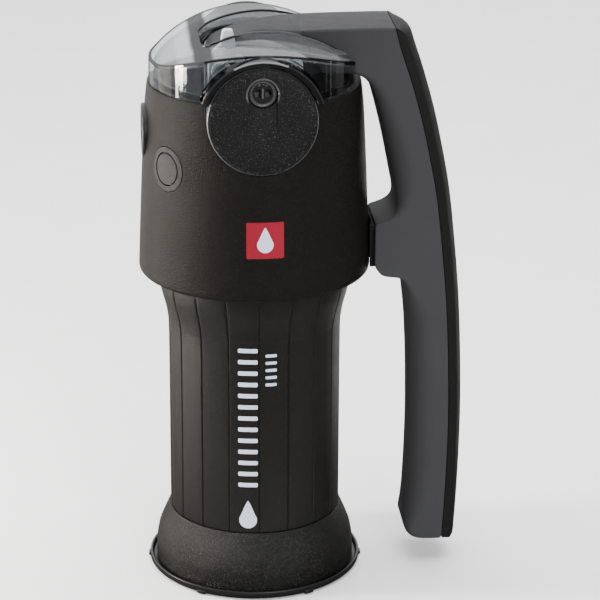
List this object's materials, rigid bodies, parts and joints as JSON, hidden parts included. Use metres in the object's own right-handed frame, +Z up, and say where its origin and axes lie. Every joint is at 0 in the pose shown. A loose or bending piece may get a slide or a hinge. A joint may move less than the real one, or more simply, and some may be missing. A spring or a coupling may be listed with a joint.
{
  "type": "pump water filter",
  "caption": "Hand-pumped water filter with a rocking side handle, clear lift-off cover, fluted cartridge housing and a threaded bottle adapter with base cap.",
  "frame": {"origin": "centre of the base cap's flat underside, on the body axis at floor level", "axes": "+Z up along the body axis, +X towards the handle, -Y is the front with the visible pivot disc"},
  "size_m": [0.1078, 0.077, 0.1886],
  "materials": {
    "black_grained": "fine-grained black moulded plastic with a light sparkle",
    "black_satin": "smooth satin black moulded plastic",
    "fluted_black": "satin black moulded plastic with fine flute lines",
    "handle_grey": "matt mid-grey moulded plastic",
    "grip_rubber": "soft black over-moulded rubber",
    "clear_polycarbonate": "clear, slightly grey polycarbonate",
    "white_acetal": "smooth white low-friction plastic",
    "block_grey": "light grey glass-filled plastic",
    "seal_rubber": "black seal rubber",
    "valve_rubber": "red silicone rubber",
    "steel": "stainless steel",
    "filter_media": "pleated glass-fibre sheet",
    "carbon": "pressed activated carbon",
    "ceramic": "fired porous ceramic"
  },
  "bodies": {
    "pump_body": {"upper_housing": "black_grained", "pump_block": "block_grey", "valve_plate": "white_acetal", "inlet_valve_left": "valve_rubber", "inlet_valve_right": "valve_rubber", "outlet_valve_left": "valve_rubber", "outlet_valve_right": "valve_rubber", "block_screw_front_left": "steel", "block_screw_front_right": "steel", "block_screw_rear_left": "steel", "block_screw_rear_right": "steel", "inlet_port": "black_satin", "valve_plug": "black_grained", "pivot_disc_front": "black_grained", "pivot_disc_rear": "black_grained", "pivot_axle": "steel", "axle_snap_front": "black_satin", "axle_snap_rear": "black_satin", "housing_oring": "seal_rubber", "rod_guide_left": "white_acetal", "rod_guide_right": "white_acetal"},
    "filter_body": {"filter_housing": "fluted_black", "cartridge_top_cap": "white_acetal", "cartridge_bottom_cap": "white_acetal", "pleated_filter": "filter_media", "carbon_core": "carbon", "cartridge_oring": "seal_rubber", "ceramic_disc": "ceramic", "prefilter_carrier": "handle_grey"},
    "adapter": {"bottle_adapter": "black_grained", "adapter_gasket": "seal_rubber", "outlet_nozzle": "black_satin"},
    "cap": {"base_cap": "black_satin"},
    "cover": {"clear_cover": "clear_polycarbonate"},
    "handle": {"handle_core": "handle_grey", "handle_grip_strip": "grip_rubber", "handle_stop_pad": "grip_rubber", "rocker_bush": "white_acetal", "piston_pin_left": "white_acetal", "piston_pin_right": "steel", "pin_clip_left": "steel", "pin_clip_right": "steel"},
    "piston_left": {"piston_yoke_left": "white_acetal", "piston_head_left": "block_grey", "piston_seal_left": "seal_rubber"},
    "piston_right": {"piston_yoke_right": "white_acetal", "piston_head_right": "block_grey", "piston_seal_right": "seal_rubber"}
  },
  "joints": [
    {"name": "handle_pump", "type": "hinge", "parent": "pump_body", "child": "handle", "pos_m": [0, 0, 0.17435], "axis": [0, -1, 0], "range_deg": [0, 50]},
    {"name": "piston_left_slide", "type": "slide", "parent": "pump_body", "child": "piston_left", "axis": [0, 0, -1], "range_m": [0, 0.0092]},
    {"name": "piston_right_slide", "type": "slide", "parent": "pump_body", "child": "piston_right", "axis": [0, 0, 1], "range_m": [0, 0.0092]},
    {"name": "cover_lift", "type": "slide", "parent": "pump_body", "child": "cover", "axis": [0, 0, 1], "range_m": [0, 0.05]},
    {"name": "filter_housing_twist", "type": "hinge", "parent": "pump_body", "child": "filter_body", "pos_m": [0, 0, 0.105], "axis": [0, 0, 1], "range_deg": [0, 90]},
    {"name": "adapter_twist", "type": "hinge", "parent": "filter_body", "child": "adapter", "pos_m": [0, 0, 0.018], "axis": [0, 0, 1], "range_deg": [0, 90]},
    {"name": "cap_pull", "type": "slide", "parent": "adapter", "child": "cap", "axis": [0, 0, -1], "range_m": [0, 0.03]}
  ],
  "couplings": [
    {"joint": "piston_left_slide", "follows": "handle_pump", "m_per_rad": 0.0104},
    {"joint": "piston_right_slide", "follows": "handle_pump", "m_per_rad": 0.0104}
  ]
}
